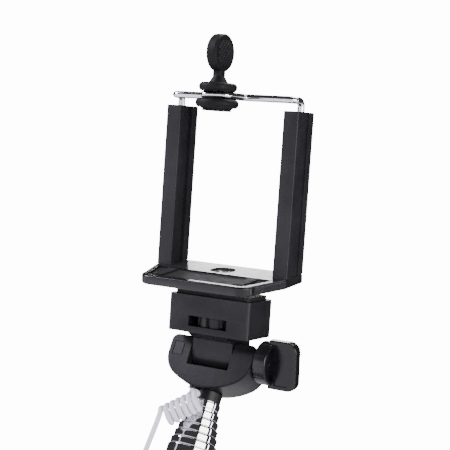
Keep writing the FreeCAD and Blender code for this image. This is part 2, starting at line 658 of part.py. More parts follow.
def wheel_outline():
    """Straight-sided teeth with round crests, as arcs and short flanks."""
    curves = []
    pitch = 2 * math.pi / teeth
    for n in range(teeth):
        start = n * pitch
        angles = [start - 0.30 * pitch, start, start + 0.30 * pitch]
        crest = [(dim("wheel_radius") * math.cos(a), dim("wheel_radius") * math.sin(a)) for a in angles]
        gap_angles = [start + 0.36 * pitch, start + 0.5 * pitch, start + 0.64 * pitch]
        root = [(root_radius * math.cos(a), root_radius * math.sin(a)) for a in gap_angles]
        curves.append(arc(*crest))
        curves.append(line(crest[2], root[0]))
        curves.append(arc(*root))
        after = start + 0.70 * pitch
        curves.append(line(root[2], (dim("wheel_radius") * math.cos(after),
                                     dim("wheel_radius") * math.sin(after))))
    return curves


wheel_solid = outline_body("wheel_solid", "XY_Plane", wheel_outline(), "dims.wheel_height",
                           dim("wheel_low"))
wheel_solid.setExpression("Placement.Base.y", "dims.block_back")
wheel_bore = rod("wheel_bore", "dims.screw_dia/2", "dims.wheel_height", y="dims.block_back",
                 z="dims.wheel_low")
keep(cut("wheel_cut", wheel_solid, wheel_bore), "thumbwheel", leaned)
slope = math.radians(dim("tray_slope"))
tray_place = FreeCAD.Placement(V(0, dim("tray_front"), dim("tray_low")),
                               FreeCAD.Rotation(V(1, 0, 0), dim("tray_slope")))


def deck_height(y):
    """Height of the tray's sloping top at a place along its depth."""
    return (dim("tray_low") + dim("tray_thick") / math.cos(slope)
            + (y - dim("tray_front")) * math.tan(slope))


deck_over_screw = deck_height(block_back)
screw_top = deck_over_screw - dim("screw_drop")
clip_screw = rod("clip_screw_rod", "dims.screw_dia/2", "%r-dims.wheel_low" % screw_top,
                 y="dims.block_back", z="dims.wheel_low")
keep(rounded("clip_screw_soft", clip_screw, 0.6,
             lambda e: isinstance(e.Curve, Part.Circle)
             and abs(e.Curve.Center.z - screw_top) < 1e-3), "clip_screw", leaned)

# --- phone clip: tray ---------------------------------------------------------------------------
def tray_outline(inset, length):
    """Plan outline of the tray: narrow rounded front, sides that flare to the posts."""
    half_front = dim("tray_half_front") - inset
    half_rear = dim("tray_half_rear") - inset
    corner = dim("tray_corner") - inset
    flare_end = dim("tray_length") - dim("post_depth")
    bend = corner * (1 - math.sqrt(0.5))
    grow = (half_rear - half_front) / (flare_end - dim("tray_corner"))
    half_end = half_front + grow * (min(length, flare_end) - dim("tray_corner"))
    curves = [line((corner - half_front, inset), (half_front - corner, inset))]
    for sign in (1, -1):
        curves.append(arc((sign * (half_front - corner), inset),
                          (sign * (half_front - bend), inset + bend),
                          (sign * half_front, inset + corner)))
        curves.append(line((sign * half_front, inset + corner), (sign * half_end, min(length, flare_end))))
        if length > flare_end:
            curves.append(line((sign * half_end, flare_end), (sign * half_end, length)))
    curves.append(line((-half_end, length), (half_end, length)))
    return curves


plate = outline_body("tray_plate", "XY_Plane", tray_outline(0.0, dim("tray_length")), "dims.tray_thick")
plate_soft = rounded("tray_soft", plate, 0.7, lambda e: e.BoundBox.ZLength < 1e-3)
well = outline_body("tray_well", "XY_Plane",
                    tray_outline(dim("rim_thick"), dim("rim_thick") + dim("well_length")),
                    "dims.well_depth+1", dim("tray_thick") - dim("well_depth"))
flat_tray = cut("tray_flat", plate_soft, well)
flat_tray.Placement = tray_place
boss_low = dim("block_high") + dim("pad_thick") + dim("boss_gap")
boss = rod("tray_boss", "dims.boss_dia/2", "dims.tray_low+2.6-%r" % boss_low, y="dims.block_back",
           z=str(boss_low))
tray_tools = [rod("insert_hole", "dims.insert_dia/2", "20", y="dims.block_back", z=str(boss_low - 1))]
leg_x = dim("tray_half_rear") - dim("leg_inset")
leg_y = dim("post_rear") - dim("post_depth") / 2
inner_edge = dim("tray_half_rear") - dim("post_width")
screw_x = inner_edge + dim("post_width") / 2
screw_y = leg_y + dim("post_screw_back")
screw_seat = deck_height(screw_y) - 1.6
post_screws = []
for way in (-1, 1):
    tag = "left" if way < 0 else "right"
    spot = {"x": str(way * screw_x), "y": str(screw_y)}
    tray_tools.append(rod("post_hole_" + tag, "dims.post_screw_dia/2", "6", z=str(screw_seat - 2), **spot))
    tray_tools.append(rod("post_sink_" + tag, "dims.post_screw_head/2", "4", z=str(screw_seat - 4), **spot))
    post_screws.append(join("post_screw_" + tag,
                            rod("post_shank_" + tag, "dims.post_screw_dia/2", "dims.post_screw_length",
                                z=str(screw_seat), **spot),
                            rod("post_cap_" + tag, "dims.post_screw_head/2", "1.0",
                                z=str(screw_seat - 1.0), **spot)))
keep(cut("tray_cut", join("tray_parts", flat_tray, boss), *tray_tools), "tray", leaned)
keep(group("post_screw_pair", *post_screws), "post_screws", leaned)

insert = cut("insert_ring",
             rod("insert_body", "dims.insert_dia/2",
                 str(deck_over_screw - dim("insert_drop") - boss_low),
                 y="dims.block_back", z=str(boss_low)),
             rod("insert_bore", "dims.screw_dia/2+dims.thread_gap", "10", y="dims.block_back",
                 z=str(boss_low - 1)))
keep(insert, "tray_insert", leaned)

well_floor = dim("tray_thick") - dim("well_depth")
pad_edge = dim("rim_thick") + dim("fit_gap")
pad_base = outline_body("tray_pad_plate", "XY_Plane",
                        tray_outline(pad_edge, pad_edge + dim("well_length") - 2 * dim("fit_gap")),
                        "dims.tray_pad_thick", well_floor)
rib_bars = []
for way in (-1, 1):
    rib_bars.append(box("pad_rib_%s" % ("left" if way < 0 else "right"), "dims.pad_rib_width",
                        "dims.well_length-3", "dims.pad_rib+0.5", x=str(way * 16.5 - 2.0),
                        y="dims.rim_thick+1.5", z=str(well_floor + dim("tray_pad_thick") - 0.5)))
keep(join("tray_pad_parts", pad_base, *rib_bars), "tray_pad", leaned.multiply(tray_place))

# --- phone clip: posts --------------------------------------------------------------------------
for way in (-1, 1):
    side = "left" if way < 0 else "right"
    left_x = inner_edge if way > 0 else -dim("tray_half_rear")
    bar = box("post_bar_" + side, "dims.post_width", "dims.post_depth", "dims.post_top-dims.tray_low",
              x=str(left_x), y="dims.post_rear-dims.post_depth", z="dims.tray_low")
    soft = rounded("post_soft_" + side, bar, dim("post_round"), along_z)
    ground = outline_body("post_ground_" + side, "XY_Plane",
                          closed_lines([(-40, -10), (40, -10), (40, 50), (-40, 50)]), "20",
                          dim("tray_thick") - 20)
    ground.Placement = tray_place
    grooves = []
    for wall, depth in ((way, dim("groove_depth")), (-way, dim("groove_inner"))):
        edge = dim("tray_half_rear") if wall == way else inner_edge
        inward = depth if wall > 0 else 1
        grooves.append(box("post_groove_%s%d" % (side, len(grooves)), str(depth + 1), "dims.groove_width",
                           "dims.post_top-dims.tray_low", x=str(way * edge - inward),
                           y="dims.post_rear-dims.post_depth+dims.groove_back", z="dims.tray_low"))
    bore = rod("post_bore_" + side, "dims.bore_dia/2", "dims.post_top-dims.cap_thick-dims.leg_bottom+1",
               x=str(way * leg_x), y=str(leg_y), z="dims.leg_bottom-1")
    mouth = rod("post_mouth_" + side, "dims.wire_dia/2+dims.wire_gap", "dims.cap_thick+1",
                x=str(way * leg_x), y=str(leg_y), z="dims.post_top-dims.cap_thick-0.5")
    pilot = rod("post_pilot_" + side, "dims.post_screw_dia/2", "dims.post_screw_length+4",
                x=str(way * screw_x), y=str(screw_y), z=str(screw_seat - 4))
    keep(cut("post_cut_" + side, soft, ground, *grooves, bore, mouth, pilot), "post_" + side, leaned)

# --- sprung wire with its feet and springs ------------------------------------------------------
wire_y = leg_y - dim("wire_forward")
jog_y = wire_y - dim("jog_forward")
top = dim("wire_height")
jog = dim("jog_half")
wire_points = [V(-leg_x, leg_y, dim("leg_bottom")), V(-leg_x, leg_y, top), V(-leg_x, wire_y, top),
               V(-jog, wire_y, top), V(-jog, jog_y, top), V(jog, jog_y, top), V(jog, wire_y, top),
               V(leg_x, wire_y, top), V(leg_x, leg_y, top), V(leg_x, leg_y, dim("leg_bottom"))]
wire = doc.addObject("Part::Feature", "wire_solid")
wire.Shape = round_pipe(fillet_path(wire_points, dim("wire_bend")), dim("wire_dia") / 2)
keep(wire, "wire_frame", leaned)

feet = []
foot_gap = dim("leg_bottom") - 0.4
for way in (-1, 1):
    side = "left" if way < 0 else "right"
    spot = {"x": str(way * leg_x), "y": str(leg_y)}
    feet.append(cut("foot_" + side,
                    rod("foot_disc_" + side, "dims.bore_dia/2-dims.slide_gap", "dims.foot_length",
                        z=str(foot_gap), **spot),
                    rod("foot_hole_" + side, "dims.wire_dia/2", "dims.foot_length", z="dims.leg_bottom",
                        **spot)))
    spring_low = foot_gap + dim("foot_length")
    spring_high = dim("post_top") - dim("cap_thick") - 0.5
    spring = cut("spring_%s_ring" % side,
                 rod("spring_outer_" + side, "dims.bore_dia/2-dims.slide_gap", str(spring_high - spring_low),
                     z=str(spring_low), **spot),
                 rod("spring_inner_" + side, "dims.bore_dia/2-dims.slide_gap-dims.spring_wall",
                     str(spring_high - spring_low), z=str(spring_low), **spot))
    keep(spring, "spring_" + side, leaned)
keep(group("feet_pair", *feet), "wire_feet", leaned)

# --- jaw with pull tab --------------------------------------------------------------------------
jaw_y = dim("jaw_front")
jaw_centre = str(jaw_y)


upper_low = top + dim("wire_dia") / 2 + dim("wire_gap")
upper_high = upper_low + dim("jaw_flange")
lower_high = top - dim("wire_dia") / 2 - dim("wire_gap")
lower_low = lower_high - dim("jaw_flange")


def round_flange(name, dia, low):
    disc = rod(name, "dims.%s/2" % dia, "dims.jaw_flange", y=jaw_centre, z=str(low))
    return rounded(name + "_soft", disc, dim("flange_round"), lambda e: isinstance(e.Curve, Part.Circle))


core_front = jog_y + dim("wire_dia") / 2 + dim("wire_gap")
core_bite = 1.0
core_half = jog - dim("wire_dia") / 2 - dim("wire_gap")
spool_core = box("jaw_core", str(2 * core_half), str(jaw_y + 5.2 - core_front),
                 str(upper_low - lower_high + 2 * core_bite),
                 x=str(-core_half), y=str(core_front), z=str(lower_high - core_bite))
neck_bite = 0.5
spool_core = rounded("jaw_core_soft", spool_core, 1.0, along_z)
tab_neck = box("tab_neck", "dims.neck_x", "dims.neck_y", "dims.disc_height-%r" % (upper_high - neck_bite),
               x="-dims.neck_x/2", y=str(jaw_y - dim("neck_y") / 2), z=str(upper_high - neck_bite))
tab_disc = rod("tab_disc", "dims.disc_dia/2", "dims.disc_thick", along="X", x="-dims.disc_thick/2",
               y=jaw_centre, z="dims.disc_height")
tab_disc_soft = rounded("tab_disc_soft", tab_disc, 0.8, lambda e: isinstance(e.Curve, Part.Circle))
tab_neck_soft = rounded("tab_neck_soft", tab_neck, 0.8, along_z)
skirt = doc.addObject("Part::Cone", "tab_skirt")
bind(skirt, Radius1="dims.neck_x/2+1.6", Radius2="dims.neck_x/2-0.2", Height="3",
     y=jaw_centre, z=str(upper_high - 0.1))
jaw = join("jaw_parts", round_flange("jaw_upper", "upper_dia", upper_low),
           round_flange("jaw_lower", "lower_dia", lower_low),
           spool_core, tab_neck_soft, tab_disc_soft, skirt)
keep(jaw, "jaw_grip", leaned)

ribs = [box("jaw_rib_%d" % n, "dims.rib_width", "dims.rib_length", "dims.rib_height",
            x="(%d-2.5)*dims.rib_pitch-dims.rib_width/2" % n, y=str(jaw_y - dim("rib_length") / 2),
            z=str(lower_low - dim("rib_base") - dim("rib_height"))) for n in range(1, 5)]
rib_plate = box("jaw_rib_plate", "4*dims.rib_pitch", "dims.rib_length+0.8", "dims.rib_base",
                x="-2*dims.rib_pitch", y=str(jaw_y - dim("rib_length") / 2 - 0.4),
                z=str(lower_low - dim("rib_base")))
keep(join("jaw_pad_parts", rib_plate, *ribs), "jaw_pad", leaned)

# --- curly lead with plug -----------------------------------------------------------------------
grommet = cut("grommet_ring",
              rod("grommet_disc", "dims.grommet_dia/2", "dims.grommet_length", x=str(cord_exit.x),
                  y=str(cord_exit.y), z=str(cord_exit.z - dim("grommet_length"))),
              rod("grommet_bore", "dims.cord_dia/2", "dims.grommet_length", x=str(cord_exit.x),
                  y=str(cord_exit.y), z=str(cord_exit.z - dim("grommet_length"))))
keep(grommet, "cord_grommet")


def before_tube(x, gap, z):
    """A place in front of the first tube: gap ahead of its wall, z above the pivot."""
    return V(x, -tube_dia(1) / 2 - gap, pivot_height + z)


coil_start = before_tube(4.3, 5.8, -19.2)
coil_end = before_tube(-8.1, 7.0, -28.7)
coil_way = coil_end - coil_start
coil = doc.addObject("Part::Cylinder", "coil_outer")
bind(coil, Radius="dims.coil_dia/2", Height=str(coil_way.Length))
keep(coil, "cord_coil", FreeCAD.Placement(coil_start, FreeCAD.Rotation(V(0, 0, 1), coil_way)))

exit_low = cord_exit.z - dim("grommet_length")
lead_points = [V(cord_exit.x, cord_exit.y, exit_low), V(cord_exit.x, cord_exit.y, exit_low - 1.35),
               before_tube(-3.2, 1.2, -17.9), before_tube(-0.8, 2.7, -18.1), before_tube(1.8, 4.2, -17.4),
               before_tube(1.9, 5.9, -17.2)]
tail_points = [before_tube(-7.4, 10.1, -28.1), before_tube(-7.6, 10.0, -31.0),
               before_tube(-8.6, 9.2, -36.5), before_tube(-10.0, 8.2, -45.0),
               before_tube(-11.6, 7.7, -58.0), before_tube(-13.0, 7.5, -75.0),
               before_tube(-13.9, 7.8, -94.0), before_tube(-14.2, 7.9, -108.0)]
for label, route in (("cord_lead", lead_points), ("cord_tail", tail_points)):
    path, radii = bent_path(route)
    tube = doc.addObject("Part::Feature", label + "_tube")
    tube.Shape = round_pipe(path, dim("cord_dia") / 2)
    section = math.pi * dim("cord_dia") ** 2 / 4
    print(label, "length %.1f" % path.Length, "bend radii", [round(r, 1) for r in radii],
          "volume %.1f" % tube.Shape.Volume, "section times length %.1f" % (section * path.Length))
    keep(tube, label)

plug_top = tail_points[-1]
plug_parts = turned_body("plug_solid", [
    (0, -dim("relief_length") - dim("plug_length")),
    (dim("plug_dia") / 2 - 0.6, -dim("relief_length") - dim("plug_length")),
    (dim("plug_dia") / 2, -dim("relief_length") - dim("plug_length") + 0.6),
    (dim("plug_dia") / 2, -dim("relief_length") - 1.0), (dim("relief_dia") / 2, -dim("relief_length")),
    (dim("cord_dia") / 2 + 0.35, 0), (0, 0)])
keep(plug_parts, "plug_body", FreeCAD.Placement(plug_top, FreeCAD.Rotation()))
contact_top = -dim("relief_length") - dim("plug_length")
contact_radius = dim("contact_dia") / 2
contact = turned_body("contact_solid", [
    (0, contact_top - dim("contact_length")), (0.7, contact_top - dim("contact_length")),
    (contact_radius, contact_top - dim("contact_length") + 1.6), (contact_radius - 0.35, contact_top -
     dim("contact_length") + 2.6), (contact_radius, contact_top - dim("contact_length") + 3.3),
    (contact_radius, contact_top), (0, contact_top)])
keep(contact, "plug_contact", FreeCAD.Placement(plug_top, FreeCAD.Rotation()))

# --- check and write ----------------------------------------------------------------------------
doc.recompute()
for item in doc.Objects:
    if "Invalid" in item.State or "Error" in item.State:
        raise RuntimeError("failed object: %s %s" % (item.Name, item.State))
os.makedirs("parts", exist_ok=True)
for item in finished:
    shape = item.Shape
    if shape.isNull() or not shape.isValid() or shape.Volume <= 0:
        raise RuntimeError("bad shape: " + item.Label)
    shape.exportStep("parts/%s.step" % item.Label)
    size = shape.BoundBox
    print("%-16s solids %d  volume %9.1f  z %.1f to %.1f" % (item.Label, len(shape.Solids), shape.Volume,
                                                          size.ZMin, size.ZMax))
print("pivot height %.2f, nodes %d" % (pivot_height, len(finished)))
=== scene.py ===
import json
import math
import bpy
import bmesh
from mathutils import Matrix, Vector


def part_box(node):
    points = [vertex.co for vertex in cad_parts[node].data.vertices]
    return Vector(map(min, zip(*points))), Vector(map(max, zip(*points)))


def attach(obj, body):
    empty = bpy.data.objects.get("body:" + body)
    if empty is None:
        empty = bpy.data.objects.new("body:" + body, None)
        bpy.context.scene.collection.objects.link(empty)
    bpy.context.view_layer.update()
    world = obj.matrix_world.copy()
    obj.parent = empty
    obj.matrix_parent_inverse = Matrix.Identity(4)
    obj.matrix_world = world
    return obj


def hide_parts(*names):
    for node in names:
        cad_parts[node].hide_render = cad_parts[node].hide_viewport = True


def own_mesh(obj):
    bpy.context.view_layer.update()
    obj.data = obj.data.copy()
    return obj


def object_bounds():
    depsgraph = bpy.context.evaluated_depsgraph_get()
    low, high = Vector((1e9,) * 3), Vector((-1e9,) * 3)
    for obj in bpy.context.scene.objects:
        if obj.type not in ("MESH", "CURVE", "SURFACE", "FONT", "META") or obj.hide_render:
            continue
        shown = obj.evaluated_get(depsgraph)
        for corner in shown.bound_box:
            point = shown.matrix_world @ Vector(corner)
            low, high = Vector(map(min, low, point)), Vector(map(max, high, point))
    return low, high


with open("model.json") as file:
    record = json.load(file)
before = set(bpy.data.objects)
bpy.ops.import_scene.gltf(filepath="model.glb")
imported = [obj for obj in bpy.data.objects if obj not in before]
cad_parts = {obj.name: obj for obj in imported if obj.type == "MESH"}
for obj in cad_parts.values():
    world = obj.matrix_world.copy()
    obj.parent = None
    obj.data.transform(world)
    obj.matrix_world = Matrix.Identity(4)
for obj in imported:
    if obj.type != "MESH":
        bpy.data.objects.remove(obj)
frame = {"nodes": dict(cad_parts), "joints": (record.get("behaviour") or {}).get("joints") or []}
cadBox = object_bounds()
nodes = frame["nodes"]
mm = 0.001


# where things are: the tilt pivot, and the clip's own axes, which lean from the stick towards -Y
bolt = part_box("tilt_bolt")
pivot = Vector((0, 0, (bolt[0][2] + bolt[1][2]) / 2))
swivel = [j for j in frame["joints"] if j["name"] == "clip_swivel"][0]
lean = math.atan2(-swivel["axis"][1], swivel["axis"][2])
clipTurn = Matrix.Rotation(lean, 4, "X")
clipPlace = Matrix.Translation(pivot) @ clipTurn


def fromPivot(x, y, z):
    return pivot + Vector((x, y, z)) * mm


def clipPoint(x, y, z):
    return clipPlace @ (Vector((x, y, z)) * mm)


def link(obj):
    bpy.context.scene.collection.objects.link(obj)
    return obj


# camera, turned and raised from the clip's front, and rolled a little
cameraSet = {"turn": 30.7, "rise": 3.95, "roll": 3.9, "distance": 0.46, "lens": 102.3, "sensor": 36,
             "near": 0.01, "aimSide": -1.6, "aimUp": 46.8}


def makeCamera(c):
    turn, rise, roll = (math.radians(c[k]) for k in ("turn", "rise", "roll"))
    toCamera = Vector((math.sin(turn) * math.cos(rise), -math.cos(turn) * math.cos(rise),
                       math.sin(rise)))
    right = Vector((math.cos(turn), math.sin(turn), 0))
    up = toCamera.cross(right)
    toCamera, right, up = (clipTurn.to_3x3() @ v for v in (toCamera, right, up))
    aim = pivot + (right * c["aimSide"] + up * c["aimUp"]) * mm
    rolledRight = right * math.cos(roll) + up * math.sin(roll)
    rolledUp = up * math.cos(roll) - right * math.sin(roll)
    data = bpy.data.cameras.new("camera")
    data.lens = c["lens"]
    data.sensor_width = c["sensor"]
    data.clip_start = c["near"]
    cam = link(bpy.data.objects.new("camera", data))
    turnTo = Matrix((rolledRight, rolledUp, toCamera)).transposed().to_4x4()
    cam.matrix_world = Matrix.Translation(aim + toCamera * c["distance"]) @ turnTo
    bpy.context.scene.camera = cam


makeCamera(cameraSet)
print("camera done")


# the curly lead: out of the head, six turns, then down beside the stick to its plug
# points are millimetres from the tilt pivot
lead = {
    "diameter": 1.9 * mm, "coilRadius": 3.1 * mm, "turns": 6.25, "pointsPerTurn": 14, "edge": 1.0 * mm,
    "outOfHead": [(-4.1, -5.0, -13.9), (-4.1, -5.0, -15.05), (-4.1, -5.0, -16.4), (-3.2, -6.4, -17.9),
                  (-0.8, -7.9, -18.1), (1.4, -9.2, -17.4)],
    "coilEnds": [(4.3, -11.0, -19.2), (-8.1, -12.2, -28.7)],
    "toPlug": [(-7.6, -15.2, -31.0), (-8.6, -14.4, -36.5), (-10.0, -13.4, -45.0), (-11.6, -12.9, -58.0),
               (-13.0, -12.7, -75.0), (-13.9, -13.0, -94.0), (-14.2, -13.1, -108.0), (-14.2, -13.1, -109.5)],
    "order": 3, "resolution": 6, "roundness": 6,
}


def leadRoute(c):
    route = [fromPivot(*p) for p in c["outOfHead"]]
    start, end = (fromPivot(*p) for p in c["coilEnds"])
    way = (end - start).normalized()
    high = Vector((0, 0, 1)) - way * way.z
    high.normalize()
    front = way.cross(high)
    if front.y > 0:
        front = -front
    start, end = start + way * c["edge"], end - way * c["edge"]
    steps = int(c["turns"] * c["pointsPerTurn"])
    # the curve cuts inside its control points, so they stand out by about what it cuts
    grow = 1 / math.cos(math.pi / c["pointsPerTurn"]) ** 0.5
    for n in range(steps + 1):
        angle = 2 * math.pi * n / c["pointsPerTurn"]
        spoke = high * math.cos(angle) + front * math.sin(angle)
        route.append(start.lerp(end, n / steps) + spoke * c["coilRadius"] * grow)
    return route + [fromPivot(*p) for p in c["toPlug"]]


def nurbsCurve(name, points, c):
    data = bpy.data.curves.new(name, "CURVE")
    data.dimensions = "3D"
    spline = data.splines.new("NURBS")
    spline.points.add(len(points) - 1)
    for place, point in zip(spline.points, points):
        place.co = (*point, 1)
    spline.order_u = c["order"]
    spline.use_endpoint_u = True
    spline.resolution_u = c["resolution"]
    data.bevel_depth = c["diameter"] / 2
    data.bevel_resolution = c["roundness"]
    data.use_fill_caps = True
    return link(bpy.data.objects.new(name, data))


def curveLength(obj):
    # along the curve itself, measured on a copy with no thickness
    data = obj.data.copy()
    data.bevel_depth = 0
    bare = bpy.data.objects.new("measure", data)
    mesh = bpy.data.meshes.new_from_object(bare)
    ends = [[mesh.vertices[n].co for n in e.vertices] for e in mesh.edges]
    total = sum((a - b).length for a, b in ends)
    bpy.data.objects.remove(bare)
    return total


leadPoints = leadRoute(lead)
cordPiece = nurbsCurve("curlyLead", leadPoints, lead)
leadLength = curveLength(cordPiece)
print("lead done, length", round(leadLength, 4))


# shared shader effects
def newGroup(name, inputs, outputs):
    group = bpy.data.node_groups.new(name, "ShaderNodeTree")
    for label, kind, value in inputs:
        socket = group.interface.new_socket(label, in_out="INPUT", socket_type=kind)
        socket.default_value = value
    for label, kind in outputs:
        group.interface.new_socket(label, in_out="OUTPUT", socket_type=kind)
    return group, group.nodes.new("NodeGroupInput"), group.nodes.new("NodeGroupOutput")


def wire(tree, start, startSocket, end, endSocket):
    tree.links.new(start.outputs[startSocket], end.inputs[endSocket])


def addNoise(tree, coords, scale, detail, rough, stretch=None):
    noise = tree.nodes.new("ShaderNodeTexNoise")
    noise.inputs["Scale"].default_value = scale
    noise.inputs["Detail"].default_value = detail
    noise.inputs["Roughness"].default_value = rough
    source = coords
    if stretch:
        mapping = tree.nodes.new("ShaderNodeMapping")
        mapping.inputs["Scale"].default_value = stretch
        tree.links.new(coords, mapping.inputs["Vector"])
        source = mapping.outputs["Vector"]
    tree.links.new(source, noise.inputs["Vector"])
    return noise


def addMath(tree, kind, first, second):
    node = tree.nodes.new("ShaderNodeMath")
    node.operation = kind
    for n, value in enumerate((first, second)):
        if isinstance(value, (int, float)):
            node.inputs[n].default_value = value
        else:
            tree.links.new(value, node.inputs[n])
    return node.outputs[0]


def addMix(tree, factor, first, second):
    node = tree.nodes.new("ShaderNodeMix")
    node.data_type = "RGBA"
    for socket, value in ((0, factor), (6, first), (7, second)):
        if isinstance(value, (tuple, list, float, int)):
            node.inputs[socket].default_value = value
        else:
            tree.links.new(value, node.inputs[socket])
    return node.outputs[2]


# each noise is its scale, detail and roughness
skinSet = {"grain": (2600.0, 3.0, 0.6), "blotch": (90.0, 4.0, 0.55), "smear": (340.0, 3.0, 0.6),
           "smearStretch": (1, 1, 0.25), "edgeFrom": 0.52, "edgeTo": 0.62, "blotchMiddle": 0.5}
marksSet = {"haze": (120.0, 4.0, 0.6), "lines": (900.0, 2.0, 0.5), "lineStretch": (1, 1, 0.06),
            "hazeFrom": 0.35, "hazeTo": 0.75, "depth": 0.00002}
foamSet = {"cells": 1500.0, "lumps": (260.0, 3.0, 0.6), "dark": (0.012, 0.012, 0.013),
           "light": (0.035, 0.034, 0.037), "cellShare": 0.8, "bump": 0.5, "depth": 0.00015,
           "rough": 0.85, "sheen": 0.25}


def mouldedSkin(c):
    # fine moulded grain, soft blotches and rubbed edges
    group, gin, gout = newGroup("mouldedSkin", [
        ("Grain Scale", "NodeSocketFloat", 1.0), ("Blotch", "NodeSocketFloat", 0.1),
        ("Base", "NodeSocketColor", (0.02, 0.02, 0.02, 1)), ("Rubbed", "NodeSocketColor", (0.1, 0.1, 0.1, 1)),
        ("Rough Low", "NodeSocketFloat", 0.3), ("Rough High", "NodeSocketFloat", 0.5)],
        [("Color", "NodeSocketColor"), ("Roughness", "NodeSocketFloat"), ("Height", "NodeSocketFloat")])
    coords = group.nodes.new("ShaderNodeTexCoord")
    scaled = group.nodes.new("ShaderNodeVectorMath")
    scaled.operation = "SCALE"
    wire(group, coords, "Object", scaled, 0)
    wire(group, gin, "Grain Scale", scaled, "Scale")
    grain = addNoise(group, scaled.outputs[0], *c["grain"])
    blotch = addNoise(group, coords.outputs["Object"], *c["blotch"])
    smear = addNoise(group, coords.outputs["Object"], *c["smear"], c["smearStretch"])
    shape = group.nodes.new("ShaderNodeNewGeometry")
    edge = group.nodes.new("ShaderNodeMapRange")
    edge.inputs["From Min"].default_value = c["edgeFrom"]
    edge.inputs["From Max"].default_value = c["edgeTo"]
    wire(group, shape, "Pointiness", edge, "Value")
    broken = addMath(group, "MULTIPLY", edge.outputs[0], blotch.outputs["Fac"])
    centred = addMath(group, "SUBTRACT", blotch.outputs["Fac"], c["blotchMiddle"])
    spread = addMath(group, "MULTIPLY", centred, gin.outputs["Blotch"])
    tone = group.nodes.new("ShaderNodeHueSaturation")
    wire(group, gin, "Base", tone, "Color")
    group.links.new(addMath(group, "ADD", spread, 1.0), tone.inputs["Value"])
    group.links.new(addMix(group, broken, tone.outputs[0], gin.outputs["Rubbed"]), gout.inputs["Color"])
    mixRough = group.nodes.new("ShaderNodeMapRange")
    wire(group, smear, "Fac", mixRough, "Value")
    wire(group, gin, "Rough Low", mixRough, "To Min")
    wire(group, gin, "Rough High", mixRough, "To Max")
    wire(group, mixRough, 0, gout, "Roughness")
    wire(group, grain, "Fac", gout, "Height")
    return group


def polishedMarks(c):
    # hairline scratches and faint finger haze on metal
    group, gin, gout = newGroup("polishedMarks", [
        ("Marks", "NodeSocketFloat", 1.0), ("Rough Low", "NodeSocketFloat", 0.03),
        ("Rough High", "NodeSocketFloat", 0.12)],
        [("Roughness", "NodeSocketFloat"), ("Height", "NodeSocketFloat"), ("Haze", "NodeSocketFloat")])
    coords = group.nodes.new("ShaderNodeTexCoord")
    haze = addNoise(group, coords.outputs["Object"], *c["haze"])
    lines = addNoise(group, coords.outputs["Object"], *c["lines"], c["lineStretch"])
    fine = group.nodes.new("ShaderNodeMapRange")
    wire(group, haze, "Fac", fine, "Value")
    fine.inputs["From Min"].default_value = c["hazeFrom"]
    fine.inputs["From Max"].default_value = c["hazeTo"]
    wire(group, gin, "Rough Low", fine, "To Min")
    wire(group, gin, "Rough High", fine, "To Max")
    wire(group, fine, 0, gout, "Roughness")
    marks = addMath(group, "MULTIPLY", lines.outputs["Fac"], gin.outputs["Marks"])
    group.links.new(marks, gout.inputs["Height"])
    wire(group, haze, "Fac", gout, "Haze")
    return group


skinGroup = mouldedSkin(skinSet)
marksGroup = polishedMarks(marksSet)


def shaderBase(name):
    material = bpy.data.materials.new(name)
    material.use_nodes = True
    tree = material.node_tree
    shader = [n for n in tree.nodes if n.type == "BSDF_PRINCIPLED"][0]
    return material, tree, shader


def addBump(tree, shader, height, strength, distance):
    bump = tree.nodes.new("ShaderNodeBump")
    bump.inputs["Strength"].default_value = strength
    bump.inputs["Distance"].default_value = distance
    tree.links.new(height, bump.inputs["Height"])
    wire(tree, bump, "Normal", shader, "Normal")


def skinMaterial(name, base, rubbed, rough, blotch=0.3, grain=1.0, bump=0.25, depth=0.00004, coat=0.0,
                 coatRough=0.1, specular=0.5):
    material, tree, shader = shaderBase(name)
    skin = tree.nodes.new("ShaderNodeGroup")
    skin.node_tree = skinGroup
    skin.inputs["Grain Scale"].default_value = grain
    skin.inputs["Blotch"].default_value = blotch
    skin.inputs["Base"].default_value = (*base, 1)
    skin.inputs["Rubbed"].default_value = (*rubbed, 1)
    skin.inputs["Rough Low"].default_value = rough[0]
    skin.inputs["Rough High"].default_value = rough[1]
    wire(tree, skin, "Color", shader, "Base Color")
    wire(tree, skin, "Roughness", shader, "Roughness")
    shader.inputs["Coat Weight"].default_value = coat
    shader.inputs["Coat Roughness"].default_value = coatRough
    shader.inputs["Specular IOR Level"].default_value = specular
    addBump(tree, shader, skin.outputs["Height"], bump, depth)
    return material


def metalMaterial(name, dark, light, rough, marks=1.0, bump=0.15):
    material, tree, shader = shaderBase(name)
    finish = tree.nodes.new("ShaderNodeGroup")
    finish.node_tree = marksGroup
    finish.inputs["Marks"].default_value = marks
    finish.inputs["Rough Low"].default_value = rough[0]
    finish.inputs["Rough High"].default_value = rough[1]
    tint = addMix(tree, finish.outputs["Haze"], (*dark, 1), (*light, 1))
    tree.links.new(tint, shader.inputs["Base Color"])
    wire(tree, finish, "Roughness", shader, "Roughness")
    shader.inputs["Metallic"].default_value = 1.0
    addBump(tree, shader, finish.outputs["Height"], bump, marksSet["depth"])
    return material


